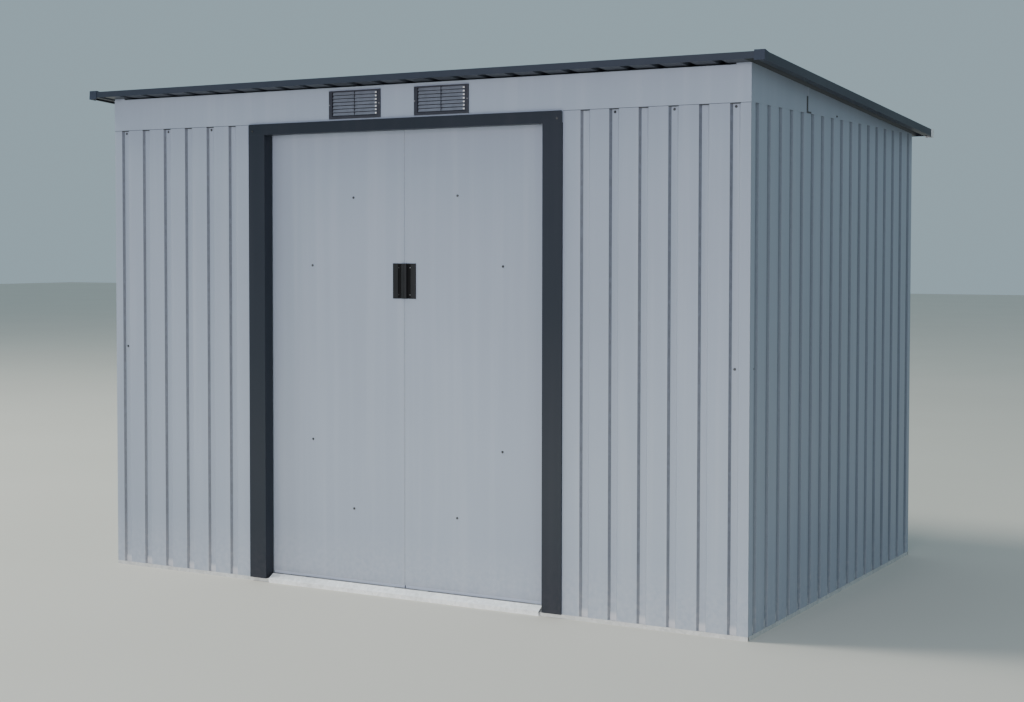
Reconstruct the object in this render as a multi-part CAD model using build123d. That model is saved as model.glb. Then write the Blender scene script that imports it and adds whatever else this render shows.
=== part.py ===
from build123d import *
import os
from math import atan2, cos, degrees, radians, sqrt

# Metal storage shed with a pent roof and two sliding doors, in millimetres.
# X runs along the front, Y from the front wall to the back wall, Z up from the ground.
# The origin is on the ground, below the middle of the roof.

# The shell, measured over its walls
wall_width = 2570.0
wall_depth = 1760.0
band_height = 1668.5
header_height = 121.0
gable_tail = 1.0

# Sheet metal
sheet = 1.0
frame_sheet = 1.2
seat_gap = 0.3
frame_gap = 2.0
top_lap = 13.0
fold_leg = 20.0
header_gap = 3.0

# Ribs rolled into the wall and roof sheets
rib_pitch = 102.8
groove_mouth = 35.0
groove_floor = 20.0
groove_depth = 8.0
roof_rib_foot = 31.5
roof_rib_top = 18.0
roof_rib_height = 14.0
roof_middle_ribs = 8
roof_lap = 30.0
lap_step = 5.0

# Roof overhangs, edge trims and corner caps
side_overhang = 66.0
end_overhang = 66.0
trim_rise = 22.0
side_trim_drop = 5.5
end_trim_drop = 1.0
trim_top_leg = 32.0
trim_bottom_leg = 10.0
cap_wall = 1.5
cap_rise = 3.0
cap_along_end = 34.0
cap_along_side = 34.0
cap_slant_start = 8.0

# Gable plates above the side walls
gable_lap_place = 520.0
gable_lap = 22.0
gable_return = 48.0

# Base, posts and rails of the frame
base_height = 13.5
base_foot = 30.0
base_web = 35.0
front_base_web = 10.0
post_leg = 30.0
rail_web = 30.0
mid_rail_leg = 12.0
mid_rail_middle = 844.0
top_rail_leg = 20.0
beam_leg = 25.0

# Doorway surround
surround_half_width = 639.0
jamb_face = 71.5
surround_proud = 8.0
surround_depth = 38.0
head_face = 39.5
head_lip = 33.0
corner_cut = 4.0
panel_past_jamb = 40.0

# Sill
sill_past_jamb = 12.0
sill_height = 30.5
sill_back = 20.0
sill_nose_reach = 8.0
sill_nose_height = 15.0
sill_foot_reach = 5.0

# Sliding doors
door_setback = 44.0
door_thickness = 20.0
door_bottom = 38.0
door_rise = 13.0
door_overlap = 22.0
door_lip = 15.0
door_strip_height = 10.5
door_strip_set = 3.0
door_gap = 5.0
brace_width = 30.0
brace_depth = 12.0
brace_top_inset = 32.0
brace_bottom_inset = 21.5
brace_middle_rise = 3.0
brace_spread = 45.5

# Top track and the hangers that run in it
track_rise = 10.0
track_width = 36.0
track_height = 29.0
track_wall = 1.5
track_slot = 15.0
wheel_radius = 9.0
wheel_thickness = 7.0
wheel_from_plate = 3.0
axle_radius = 3.0
hanger_plate = 3.0
hanger_width = 40.0
hanger_foot_depth = 14.0
runner_inset = 70.0

# Floor guide of the doors and the sliders that run in it
guide_width = 20.0
guide_height = 22.5
slider_length = 40.0
slider_thickness = 8.0
slider_floor_gap = 3.0

# Handles
handle_width = 44.5
handle_height = 123.0
handle_middle = 1105.0
handle_plate = 3.0
handle_cup_floor = 1.5
grip_depth = 10.0
grip_width = 14.5
cup_width = 7.0
cup_end = 8.0

# Louvred vents
vent_place = 177.0
vent_drop = 5.5
vent_width = 216.0
vent_height = 98.5
vent_side_border = 14.0
vent_top_border = 5.0
vent_bottom_border = 9.5
vent_proud = 5.0
vent_depth = 14.0
spigot_wall = 2.0
louvre_count = 7
louvre_thickness = 1.6
louvre_chord = 14.0
louvre_angle = 40.0
divider_width = 4.0

# Places that follow from the sizes above
half_width = wall_width / 2
front_y = -wall_depth / 2
back_y = wall_depth / 2
front_height = band_height + header_height
back_height = band_height + gable_tail
inner_skin = groove_depth + sheet
base_edge = inner_skin + frame_sheet
web_face = half_width - base_edge
between_feet = half_width - base_foot
between_posts = half_width - 2 * sheet - post_leg - frame_gap
between_posts_side = wall_depth / 2 - sheet - post_leg - frame_gap
roof_fall = (front_height - back_height) / wall_depth
roof_angle = degrees(atan2(front_height - back_height, wall_depth))
roof_half_width = half_width + side_overhang
roof_reach = (wall_depth / 2 + end_overhang) / cos(radians(roof_angle))
roof_seat = Location((0, 0, (front_height + back_height) / 2), (-roof_angle, 0, 0))
doorway_half = surround_half_width - jamb_face
panel_end = surround_half_width - panel_past_jamb
sill_half = doorway_half - sill_past_jamb
head_bottom = band_height - head_face
door_top = head_bottom + door_rise
track_bottom = door_top + track_rise
door_middle = door_setback + door_thickness / 2
leaf_y = front_y + door_setback
leaf_start = door_gap / 2
leaf_end = doorway_half + door_overlap
leaf_width = leaf_end - leaf_start
leaf_height = door_top - door_bottom
strip_bottom = door_bottom - door_strip_height
guide_end = door_middle + guide_width / 2 + frame_sheet
vent_middle = band_height + header_height / 2 - vent_drop
vent_hole_width = vent_width - 2 * vent_side_border
vent_hole_height = vent_height - vent_top_border - vent_bottom_border
vent_hole_middle = vent_middle + (vent_bottom_border - vent_top_border) / 2

# Each wall is drawn on a plane whose x runs along the wall and whose y points indoors
front_plane = Plane(origin=(0, front_y, 0), x_dir=(1, 0, 0), z_dir=(0, 0, 1))
right_plane = Plane(origin=(half_width, 0, 0), x_dir=(0, 1, 0), z_dir=(0, 0, 1))
back_plane = Plane(origin=(0, back_y, 0), x_dir=(-1, 0, 0), z_dir=(0, 0, 1))


def front_section(x):
    """Plane across the front wall: x points indoors, y up, and the normal to the right."""
    return Plane(origin=(x, front_y, 0), x_dir=(0, 1, 0), z_dir=(1, 0, 0))


def right_section(y):
    """Plane across the right wall: x points indoors, y up, and the normal to the back."""
    return Plane(origin=(half_width, y, 0), x_dir=(-1, 0, 0), z_dir=(0, 1, 0))


def back_section(x):
    """Plane across the back wall: x points indoors, y up, and the normal to the left."""
    return Plane(origin=(x, back_y, 0), x_dir=(0, -1, 0), z_dir=(-1, 0, 0))


def roof_z(y):
    """Height of the underside of the roof at a place along the depth."""
    return front_height - (y - front_y) * roof_fall


def folded(points, thickness, plane, length):
    """Strip of sheet folded along the points and run along the plane's normal.

    The points follow one face of the strip, and the metal lies on their left.
    """
    path = [Vector(*point) for point in points]
    ways = [(end - start).normalized() for start, end in zip(path, path[1:])]
    normals = [Vector(-way.Y, way.X) for way in ways]
    pairs = zip(path, normals[:1] + normals, normals + normals[-1:])
    other = [point + (a + b) * (thickness / (1 + a.dot(b))) for point, a, b in pairs]
    outline = Polyline(*path, *reversed(other), close=True)
    return extrude(plane * make_face(outline), length)


def slab(x, y, width, height):
    """Rectangle whose lower left corner is at x and y."""
    return Pos(x, y) * Rectangle(width, height, align=(Align.MIN, Align.MIN))


def ribbed_points(start, end, span, mouth, floor, depth):
    """Points of a ribbed sheet from start to end.

    The ribs are shared out evenly over the whole span of the wall or roof, and those
    that lie clear of start and end are rolled in.
    """
    count = round(span / rib_pitch)
    points = [(start, 0)]
    for number in range(count):
        centre = (number + 0.5) * span / count - span / 2
        if start + mouth / 4 < centre - mouth / 2 and centre + mouth / 2 < end - mouth / 4:
            points.append((centre - mouth / 2, 0))
            points.append((centre - floor / 2, depth))
            points.append((centre + floor / 2, depth))
            points.append((centre + mouth / 2, 0))
    points.append((end, 0))
    return points


def wall_points(start, end, span):
    return ribbed_points(start, end, span, groove_mouth, groove_floor, groove_depth)


def roof_points(start, end):
    span = 2 * roof_half_width
    return ribbed_points(start, end, span, roof_rib_foot, roof_rib_top, roof_rib_height)


def under_roof(solid, drop):
    """Trims a solid to the underside of the roof, or to a drop below it."""
    above = Box(2 * wall_width, 2 * wall_width, wall_width, align=(Align.CENTER, Align.CENTER, Align.MIN))
    return solid - roof_seat * Pos(0, 0, -drop) * above


def mirrored(solid):
    return mirror(solid, about=Plane.YZ)


def front_panel():
    """Ribbed sheet from the doorway to the right corner, folded indoors at both ends."""
    corner = half_width - sheet
    points = [(panel_end, surround_depth - frame_sheet)]
    points += wall_points(panel_end, corner, wall_width)
    points.append((corner, fold_leg))
    panel = folded(points, sheet, front_plane.offset(base_height), band_height + top_lap - base_height)
    align = (Align.CENTER, Align.MIN, Align.MIN)
    notch = Box(2 * frame_gap, surround_depth, head_face + top_lap, align=align)
    return panel - Pos(panel_end, front_y + sheet, head_bottom) * notch


def right_wall():
    """Ribbed sheet of the right side, from corner to corner."""
    points = wall_points(-wall_depth / 2, wall_depth / 2, wall_depth)
    wall = folded(points, sheet, right_plane.offset(base_height), band_height + top_lap - base_height)
    return under_roof(wall, frame_sheet)


def back_wall():
    """Ribbed sheet of the back, folded indoors at both corners."""
    corner = half_width - sheet
    points = [(-corner, fold_leg)]
    points += wall_points(-corner, corner, wall_width)
    points.append((corner, fold_leg))
    return folded(points, sheet, back_plane.offset(base_height), back_height - frame_sheet - base_height)


def header_top():
    """Height of the header, whose top fold stays a gap below the sloping roof."""
    return roof_z(front_y + fold_leg) - header_gap


def front_header():
    """Flat band over the front panels, with a top fold and two holes for the vents."""
    points = [(fold_leg, header_top()), (-sheet, header_top()), (-sheet, band_height)]
    reach = half_width + sheet
    header = folded(points, sheet, front_section(-reach), 2 * reach)
    align = (Align.MAX, Align.MIN, Align.CENTER)
    notch = Box(gable_return + sheet + frame_gap, fold_leg, 2 * top_lap, align=align)
    notch = Pos(reach, front_y, header_top()) * notch
    header -= notch + mirrored(notch)
    spigot = 2 * (spigot_wall + seat_gap)
    hole = Box(vent_hole_width + spigot, fold_leg, vent_hole_height + spigot)
    for side in (-1, 1):
        header -= Pos(side * vent_place, front_y, vent_hole_middle) * hole
    return header


def gable_front():
    """Plate over the front part of the right wall, folded round the corner behind the header."""
    end = gable_lap_place + gable_lap - wall_depth / 2
    points = [(-wall_depth / 2, gable_return), (-wall_depth / 2, -sheet), (end, -sheet)]
    plate = folded(points, sheet, right_plane.offset(band_height), header_height)
    align = (Align.MAX, Align.CENTER, Align.CENTER)
    over_panel = Box(2 * gable_return, 2 * frame_gap, 2 * (top_lap + frame_gap), align=align)
    return under_roof(plate - Pos(half_width, front_y, band_height) * over_panel, 0)


def gable_back():
    """Flat plate over the back part of the right wall, stepped out over the front plate."""
    start = gable_lap_place - wall_depth / 2
    points = [(start, -2 * sheet), (start + gable_lap + frame_gap, -2 * sheet)]
    points.append((start + gable_lap + frame_gap + lap_step, -sheet))
    points.append((wall_depth / 2, -sheet))
    plate = folded(points, sheet, right_plane.offset(band_height), header_height)
    return under_roof(plate, 0)


def corner_post(plane, top):
    """Upright angle in the corner at the plane's positive end, seated on the two walls."""
    corner = half_width - 2 * sheet
    points = [(corner - post_leg, sheet), (corner, sheet), (corner, sheet + post_leg)]
    post = folded(points, frame_sheet, plane.offset(base_height), top - base_height)
    return under_roof(post, frame_sheet)


def base_face():
    """Section of a base rail's outer part: its face and the ledge under the wall sheet."""
    ledge = slab(0, base_height - frame_sheet, base_edge, frame_sheet)
    return slab(0, 0, frame_sheet, base_height) + ledge


def base_upstand(height):
    """Section of the upstand behind the wall sheet's grooves."""
    return slab(inner_skin, base_height - frame_sheet, frame_sheet, height + frame_sheet)


def base_rail_front():
    """Floor rail of the front: a face under each panel, a plate and the guide of the doors."""
    plate = slab(0, 0, guide_end, frame_sheet)
    plate += slab(guide_end - frame_sheet, 0, frame_sheet, guide_height)
    plate += slab(guide_end - guide_width - 2 * frame_sheet, 0, frame_sheet, guide_height)
    rail = extrude(front_section(-between_feet) * plate, 2 * between_feet)
    face_start = sill_half + seat_gap
    side = extrude(front_section(face_start) * base_face(), half_width - face_start)
    web_start = panel_end + sheet + frame_gap
    side += extrude(front_section(web_start) * base_upstand(front_base_web), web_face - web_start)
    return rail + side + mirrored(side)


def base_rail_back():
    """Folded rail under the back wall, its foot and upstand stopped short of the side rails."""
    rail = extrude(back_section(half_width) * base_face(), wall_width)
    rail += extrude(back_section(web_face) * base_upstand(base_web), 2 * web_face)
    foot = slab(0, 0, base_foot, frame_sheet)
    return rail + extrude(back_section(between_feet) * foot, 2 * between_feet)


def base_rail_right():
    """Folded rail under the right wall, between the faces of the front and back rails."""
    section = base_face() + base_upstand(base_web) + slab(0, 0, base_foot, frame_sheet)
    return extrude(right_section(front_y + base_edge) * section, wall_depth - 2 * base_edge)


def mid_rail(plane, length):
    """Channel half way up a wall, its web against the grooves."""
    top = mid_rail_middle + rail_web / 2
    low = mid_rail_middle - rail_web / 2
    points = [(inner_skin + mid_rail_leg, top), (inner_skin, top)]
    points += [(inner_skin, low), (inner_skin + mid_rail_leg, low)]
    return folded(points, frame_sheet, plane, length)


def top_rail_right():
    """Rail down the slope inside the right gable, which carries the roof."""
    start = fold_leg + seat_gap - wall_depth / 2
    end = wall_depth / 2 - sheet - frame_sheet - frame_gap
    section = slab(0, -frame_sheet, inner_skin, frame_sheet)
    section += slab(inner_skin, -rail_web, frame_sheet, rail_web)
    section += slab(inner_skin, -rail_web, top_rail_leg, frame_sheet)
    reach = 2 * wall_depth
    plane = Plane(origin=(half_width, -reach / 2, 0), x_dir=(-1, 0, 0), z_dir=(0, 1, 0))
    rail = roof_seat * extrude(plane * section, reach)
    room = Box(wall_width, end - start, 2 * front_height)
    return rail & Pos(0, (start + end) / 2, 0) * room


def top_rail_back():
    """Rail along the top of the back wall."""
    section = slab(0, back_height - frame_sheet, inner_skin, frame_sheet)
    section += slab(inner_skin, back_height - rail_web, frame_sheet, rail_web)
    section += slab(inner_skin, back_height - rail_web, top_rail_leg, frame_sheet)
    return extrude(back_section(between_posts) * section, 2 * between_posts)


def door_track():
    """Track along the front, open below, that the doors hang from."""
    start = door_middle - track_width / 2
    lip = (track_width - track_slot) / 2
    top = track_bottom + track_height
    section = slab(inner_skin, top - track_wall, start + track_width - inner_skin, track_wall)
    section += slab(inner_skin, track_bottom, track_wall, track_height)
    section += slab(start, track_bottom, track_wall, track_height)
    section += slab(start + track_width - track_wall, track_bottom, track_wall, track_height)
    section += slab(start, track_bottom, lip, track_wall)
    section += slab(start + track_width - lip, track_bottom, lip, track_wall)
    return extrude(front_section(-between_posts) * section, 2 * between_posts)


def jamb():
    """Folded cover down the right side of the doorway."""
    points = [(panel_end + sheet, surround_depth), (doorway_half, surround_depth)]
    points += [(doorway_half, -surround_proud), (surround_half_width, -surround_proud)]
    points.append((surround_half_width, 0))
    return folded(points, frame_sheet, front_plane.offset(base_height), head_bottom - base_height)


def door_head():
    """Folded cover over the doorway, its lip seated on the track."""
    edge = door_middle - track_width / 2
    points = [(0, band_height), (-surround_proud, band_height), (-surround_proud, head_bottom)]
    points += [(edge, head_bottom), (edge, head_bottom + head_lip)]
    head = folded(points, frame_sheet, front_section(-surround_half_width), 2 * surround_half_width)
    over_jamb = surround_half_width - panel_end + frame_gap
    align = (Align.MAX, Align.MIN, Align.MIN)
    notch = Box(over_jamb, edge + surround_proud, head_lip + frame_sheet, align=align)
    cut = Rot(0, 45, 0) * Box(corner_cut * sqrt(2), 2 * surround_depth, corner_cut * sqrt(2))
    for side in (0, 1):
        part_cut = Pos(surround_half_width, front_y - surround_proud + frame_sheet, head_bottom) * notch
        part_cut += Pos(surround_half_width, front_y, band_height) * cut
        head -= mirrored(part_cut) if side else part_cut
    return head


def door_sill():
    """Steep threshold plate between the feet of the front rail, with a nose above the ground."""
    points = [(sill_back, frame_sheet), (sill_back, sill_height)]
    points += [(-sill_nose_reach, sill_nose_height), (-sill_foot_reach, 0)]
    sill = folded(points, frame_sheet, front_section(-sill_half), 2 * sill_half)
    ground = Box(wall_width, wall_depth, sill_height, align=(Align.CENTER, Align.CENTER, Align.MAX))
    return sill - Pos(0, front_y, 0) * ground


def door_leaf():
    """Right leaf: a flat pan with folded edges and lips, open at the back, on a foot strip."""
    align = (Align.MIN, Align.MIN, Align.MIN)
    leaf = Box(leaf_width, door_thickness, leaf_height, align=align)
    hollow = Box(leaf_width - 2 * sheet, door_thickness - 2 * sheet, leaf_height - 2 * sheet, align=align)
    window = Box(leaf_width - 2 * door_lip, door_thickness, leaf_height - 2 * door_lip, align=align)
    leaf -= Pos(sheet, sheet, sheet) * hollow
    leaf -= Pos(door_lip, sheet, door_lip) * window
    strip = Box(leaf_width, door_thickness - 2 * door_strip_set, door_strip_height, align=align)
    leaf += Pos(0, door_strip_set, -door_strip_height) * strip
    return Pos(leaf_start, leaf_y, door_bottom) * leaf


def door_brace(inner_x, inner_z, outer_z):
    """Channel set aslant in the right leaf, from its top or bottom edge to its outer edge."""
    side = brace_width / 2
    points = [(brace_depth, side), (0, side), (0, -side), (brace_depth, -side)]
    start = Vector(inner_x, leaf_y + sheet, inner_z)
    run = Vector(leaf_end, leaf_y + sheet, outer_z) - start
    plane = Plane(origin=start, x_dir=(0, 1, 0), z_dir=run)
    brace = folded(points, frame_sheet, plane.offset(-brace_width), run.length + 2 * brace_width)
    room = Box(leaf_width - 2 * sheet, 2 * door_thickness, leaf_height - 2 * sheet)
    return brace & Pos(leaf_start + leaf_width / 2, leaf_y, door_bottom + leaf_height / 2) * room


def door_braces():
    middle = (door_top + door_bottom) / 2 + brace_middle_rise
    upper = door_brace(leaf_start + brace_top_inset, door_top, middle + brace_spread)
    lower = door_brace(leaf_start + brace_bottom_inset, door_bottom, middle - brace_spread)
    return Compound(children=upper.solids() + lower.solids())


def hanger():
    """Plate on the leaf's top edge with a wheel on each side, in the track."""
    axle_z = track_bottom + track_wall + seat_gap + wheel_radius
    low = (Align.CENTER, Align.CENTER, Align.MIN)
    foot = Pos(0, 0, door_top) * Box(hanger_width, hanger_foot_depth, hanger_plate, align=low)
    plate = Pos(0, 0, door_top) * Box(2 * wheel_radius, hanger_plate, axle_z - door_top, align=low)
    reach = hanger_plate / 2 + wheel_from_plate + wheel_thickness
    turn = Pos(0, 0, axle_z) * Rot(90, 0, 0)
    plate += turn * Cylinder(wheel_radius, hanger_plate)
    plate += turn * Cylinder(axle_radius, 2 * reach)
    for side in (-1, 1):
        wheel = Cylinder(wheel_radius, wheel_thickness)
        plate += turn * Pos(0, 0, side * (reach - wheel_thickness / 2)) * wheel
    return foot + plate


def slider():
    """Block under the leaf that keeps it in the floor guide."""
    floor = frame_sheet + slider_floor_gap
    align = (Align.CENTER, Align.CENTER, Align.MIN)
    block = Box(slider_length, slider_thickness, strip_bottom - floor, align=align)
    return Pos(0, 0, floor) * block


def door_runners():
    """Two hangers and two sliders of the right leaf."""
    pieces = []
    for x in (leaf_start + runner_inset, leaf_end - runner_inset):
        for piece in (hanger(), slider()):
            pieces += (Pos(x, front_y + door_middle, 0) * piece).solids()
    return Compound(children=pieces)


def door_handle():
    """Moulded pull of the right leaf: a grip by the meeting edge, a cup and a plate."""
    align = (Align.MIN, Align.MAX, Align.CENTER)
    plate = Box(handle_width, handle_plate, handle_height, align=align)
    grip = Box(grip_width, grip_depth, handle_height, align=align)
    grip = fillet(grip.edges().filter_by(Axis.Z).group_by(Axis.Y)[0], grip_width / 3)
    cup = Box(cup_width, handle_plate, handle_height - 2 * cup_end, align=align)
    handle = plate + grip - Pos(grip_width, -handle_cup_floor, 0) * cup
    return Pos(leaf_start, leaf_y, handle_middle) * handle


def vent():
    """Moulded louvred vent: a border, a spigot through the header, slats and a divider."""
    face_y = front_y - sheet
    align = (Align.CENTER, Align.MIN, Align.CENTER)
    border = Pos(0, -vent_proud, vent_middle) * Box(vent_width, vent_proud, vent_height, align=align)
    spigot_width = vent_hole_width + 2 * spigot_wall
    spigot_height = vent_hole_height + 2 * spigot_wall
    border += Pos(0, 0, vent_hole_middle) * Box(spigot_width, vent_depth, spigot_height, align=align)
    way = Box(vent_hole_width, 4 * vent_depth, vent_hole_height)
    border -= Pos(0, 0, vent_hole_middle) * way
    depth = louvre_chord * cos(radians(louvre_angle))
    divider = Box(divider_width, depth, vent_hole_height, align=align)
    border += Pos(0, -vent_proud + louvre_thickness, vent_hole_middle) * divider
    step = vent_hole_height / louvre_count
    slat = Rot(louvre_angle, 0, 0) * Box(vent_hole_width, louvre_chord, louvre_thickness)
    for number in range(louvre_count):
        z = vent_hole_middle + (number + 0.5) * step - vent_hole_height / 2
        border += Pos(0, -vent_proud + louvre_thickness + depth / 2, z) * slat
    return Pos(vent_place, face_y, 0) * border


def roof_strip(points, thickness):
    """Sheet folded along points across the roof and run down its whole slope."""
    plane = Plane(origin=(0, roof_reach, 0), x_dir=(1, 0, 0), z_dir=(0, -1, 0))
    return roof_seat * folded(points, thickness, plane, 2 * roof_reach)


def roof_split():
    """Place of the lap between the middle roof sheet and the right one."""
    count = round(2 * roof_half_width / rib_pitch)
    return roof_middle_ribs / 2 * 2 * roof_half_width / count


def roof_sheet_right():
    points = roof_points(roof_split() - roof_lap / 2, roof_half_width - frame_sheet)
    return roof_strip(points, sheet)


def roof_sheet_middle():
    """Middle roof sheet, with both edges stepped up over its neighbours."""
    step = roof_split() - roof_lap / 2 - seat_gap
    edge = roof_split() + roof_lap / 2
    points = [(-edge, sheet), (-step, sheet)]
    points += roof_points(lap_step - step, step - lap_step)
    points += [(step, sheet), (edge, sheet)]
    return roof_strip(points, sheet)


def roof_trim_right():
    """Channel along the right edge of the roof."""
    edge = roof_half_width
    points = [(edge - trim_bottom_leg, -side_trim_drop), (edge, -side_trim_drop)]
    points += [(edge, trim_rise), (edge - trim_top_leg, trim_rise)]
    return roof_strip(points, frame_sheet)


def roof_end_trim():
    """Angle along an end of the roof, between the side trims, drawn level."""
    half = roof_half_width - frame_sheet
    face = -roof_reach - frame_sheet
    top = trim_rise - frame_sheet
    points = [(face + trim_top_leg, top), (face, top), (face, -end_trim_drop)]
    plane = Plane(origin=(-half, 0, 0), x_dir=(0, 1, 0), z_dir=(1, 0, 0))
    return folded(points, frame_sheet, plane, 2 * half)


def roof_beam():
    """Channel across the roof at mid depth, resting in the side rails."""
    low = frame_sheet - rail_web
    points = [(beam_leg, 0), (0, 0), (0, low), (beam_leg, low)]
    reach = web_face - seat_gap
    plane = Plane(origin=(-reach, 0, 0), x_dir=(0, 1, 0), z_dir=(1, 0, 0))
    return roof_seat * folded(points, frame_sheet, plane, 2 * reach)


def roof_caps():
    """Moulded covers over the two front corners of the roof trims, drawn level."""
    low = -side_trim_drop - cap_wall
    top = trim_rise + cap_rise
    outer_x = roof_half_width + cap_wall
    outer_y = -roof_reach - frame_sheet - cap_wall
    align = (Align.MAX, Align.MIN, Align.MIN)
    cap = Box(cap_along_end, cap_along_side, top - low, align=align)
    cap -= Pos(-cap_wall, cap_wall, -cap_rise) * cap
    slant = Polyline((cap_slant_start, cap_rise), (cap_along_side, cap_rise), (cap_along_side, 0), close=True)
    plane = Plane(origin=(outer_x, outer_y, trim_rise), x_dir=(0, 1, 0), z_dir=(1, 0, 0))
    cap = Pos(outer_x, outer_y, low) * cap
    cap -= extrude(plane * make_face(slant), -cap_along_end)
    return Compound(children=[cap, mirrored(cap)])


def turned_back(piece):
    """Takes a piece drawn level at the front end of the roof to the back end."""
    return mirror(piece, about=Plane.XZ)


right_side = {
    "base_rail_right": base_rail_right(),
    "corner_post_front_right": corner_post(front_plane, header_top() - sheet),
    "corner_post_back_right": mirrored(corner_post(back_plane, front_height)),
    "front_panel_right": front_panel(),
    "right_wall": right_wall(),
    "right_gable_front": gable_front(),
    "right_gable_back": gable_back(),
    "mid_rail_right": mid_rail(right_section(-between_posts_side), 2 * between_posts_side),
    "top_rail_right": top_rail_right(),
    "jamb_right": jamb(),
    "door_right": door_leaf(),
    "door_right_braces": door_braces(),
    "door_right_runners": door_runners(),
    "door_right_handle": door_handle(),
    "vent_right": vent(),
    "roof_sheet_right": roof_sheet_right(),
    "roof_trim_right": roof_trim_right(),
}

middle = {
    "base_rail_front": base_rail_front(),
    "base_rail_back": base_rail_back(),
    "door_sill": door_sill(),
    "front_header": front_header(),
    "back_wall": back_wall(),
    "mid_rail_back": mid_rail(back_section(between_posts), 2 * between_posts),
    "top_rail_back": top_rail_back(),
    "door_track": door_track(),
    "door_head": door_head(),
    "roof_sheet_middle": roof_sheet_middle(),
    "roof_beam": roof_beam(),
    "roof_trim_front": roof_seat * roof_end_trim(),
    "roof_trim_back": roof_seat * turned_back(roof_end_trim()),
    "roof_caps_front": roof_seat * roof_caps(),
    "roof_caps_back": roof_seat * turned_back(roof_caps()),
}

os.makedirs("parts", exist_ok=True)
for name, piece in middle.items():
    export_step(piece, f"parts/{name}.step")
for name, piece in right_side.items():
    export_step(piece, f"parts/{name}.step")
    export_step(mirrored(piece), f"parts/{name.replace('right', 'left')}.step")
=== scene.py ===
import bmesh
import bpy
from math import atan2, cos, radians, sin
from mathutils import Matrix, Vector


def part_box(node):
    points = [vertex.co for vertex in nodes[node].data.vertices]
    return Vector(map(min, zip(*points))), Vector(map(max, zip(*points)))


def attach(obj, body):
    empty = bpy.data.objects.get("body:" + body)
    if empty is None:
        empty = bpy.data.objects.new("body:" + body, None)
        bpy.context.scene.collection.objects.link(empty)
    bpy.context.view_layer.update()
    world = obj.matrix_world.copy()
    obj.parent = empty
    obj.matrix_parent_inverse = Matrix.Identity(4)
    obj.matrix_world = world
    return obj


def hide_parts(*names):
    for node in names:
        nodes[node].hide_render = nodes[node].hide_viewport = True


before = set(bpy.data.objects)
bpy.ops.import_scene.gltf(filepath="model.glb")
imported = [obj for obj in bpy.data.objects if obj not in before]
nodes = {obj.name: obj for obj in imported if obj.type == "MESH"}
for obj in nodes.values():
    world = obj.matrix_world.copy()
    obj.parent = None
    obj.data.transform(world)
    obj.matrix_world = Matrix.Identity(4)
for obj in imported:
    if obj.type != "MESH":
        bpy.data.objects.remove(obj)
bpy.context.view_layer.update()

# The camera stands in front of the shed's right-hand corner, 1.2 m above the ground,
# with a short telephoto lens. The shift only takes up the photograph's framing.
bpy.ops.object.camera_add(location=(3.1827, -5.8706, 1.2192))
camera = bpy.context.object
turn = Matrix.Rotation(radians(30.948), 4, "Z") @ Matrix.Rotation(radians(90 - 2.071), 4, "X")
camera.rotation_euler = turn.to_euler()
camera.data.lens = 60.062
camera.data.sensor_width = 36.0
camera.data.shift_x = 0.0655
camera.data.shift_y = -0.03996
bpy.context.scene.camera = camera

# The studio: a pale floor of painted board, a bluish room light all round, a big round
# soft box low before the front and another high on the left, which leave the right side
# in its shade. A low warm reflector lights the foot of the front, but not the floor.


def noise_on(tree, place, scale, stretch=(1, 1, 1), detail=2.0):
    """Soft noise with about that many patches to the metre, stretched along the axes."""
    mapping = tree.nodes.new("ShaderNodeMapping")
    mapping.inputs["Scale"].default_value = stretch
    noise = tree.nodes.new("ShaderNodeTexNoise")
    noise.inputs["Scale"].default_value = scale
    noise.inputs["Detail"].default_value = detail
    tree.links.new(place, mapping.inputs["Vector"])
    tree.links.new(mapping.outputs["Vector"], noise.inputs["Vector"])
    return noise.outputs["Fac"]


def spread(tree, value, low, high, start=0.0, end=1.0):
    """The value taken from low and high to start and end, and held beyond them."""
    ranged = tree.nodes.new("ShaderNodeMapRange")
    ranged.inputs["From Min"].default_value = low
    ranged.inputs["From Max"].default_value = high
    ranged.inputs["To Min"].default_value = start
    ranged.inputs["To Max"].default_value = end
    tree.links.new(value, ranged.inputs["Value"])
    return ranged.outputs["Result"]


def reckon(tree, operation, *terms):
    """One sum on values of the tree and plain numbers."""
    sum_node = tree.nodes.new("ShaderNodeMath")
    sum_node.operation = operation
    for socket, term in zip(sum_node.inputs, terms):
        if isinstance(term, (int, float)):
            socket.default_value = term
        else:
            tree.links.new(term, socket)
    return sum_node.outputs[0]


def blended(tree, amount, under, over):
    """One colour over another, by an amount that varies."""
    mix = tree.nodes.new("ShaderNodeMix")
    mix.data_type = "RGBA"
    for socket, term in ((mix.inputs[0], amount), (mix.inputs[6], under), (mix.inputs[7], over)):
        if isinstance(term, tuple):
            socket.default_value = (*term, 1)
        else:
            tree.links.new(term, socket)
    return mix.outputs[2]


bpy.ops.object.select_all(action="DESELECT")
bpy.ops.mesh.primitive_plane_add(size=80, location=(0, 0, 0))
floor = bpy.context.object
floor.name = "floor"
board = bpy.data.materials.new("floor_board")
board.use_nodes = True
tree = board.node_tree
place = tree.nodes.new("ShaderNodeTexCoord").outputs["Object"]
tone = blended(tree, noise_on(tree, place, 0.7), (0.70, 0.66, 0.59), (0.75, 0.71, 0.64))
tree.links.new(tone, tree.nodes["Principled BSDF"].inputs["Base Color"])
tree.nodes["Principled BSDF"].inputs["Roughness"].default_value = 0.8
floor.data.materials.append(board)

world = bpy.data.worlds.new("studio")
world.use_nodes = True
world.node_tree.nodes["Background"].inputs["Color"].default_value = (0.676, 0.888, 1.0, 1)
world.node_tree.nodes["Background"].inputs["Strength"].default_value = 0.465
bpy.context.scene.world = world


def aimed(lamp, target):
    """Turns a lamp to face a point."""
    way = Vector(target) - lamp.location
    lamp.rotation_euler = way.to_track_quat("-Z", "Y").to_euler()


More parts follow.
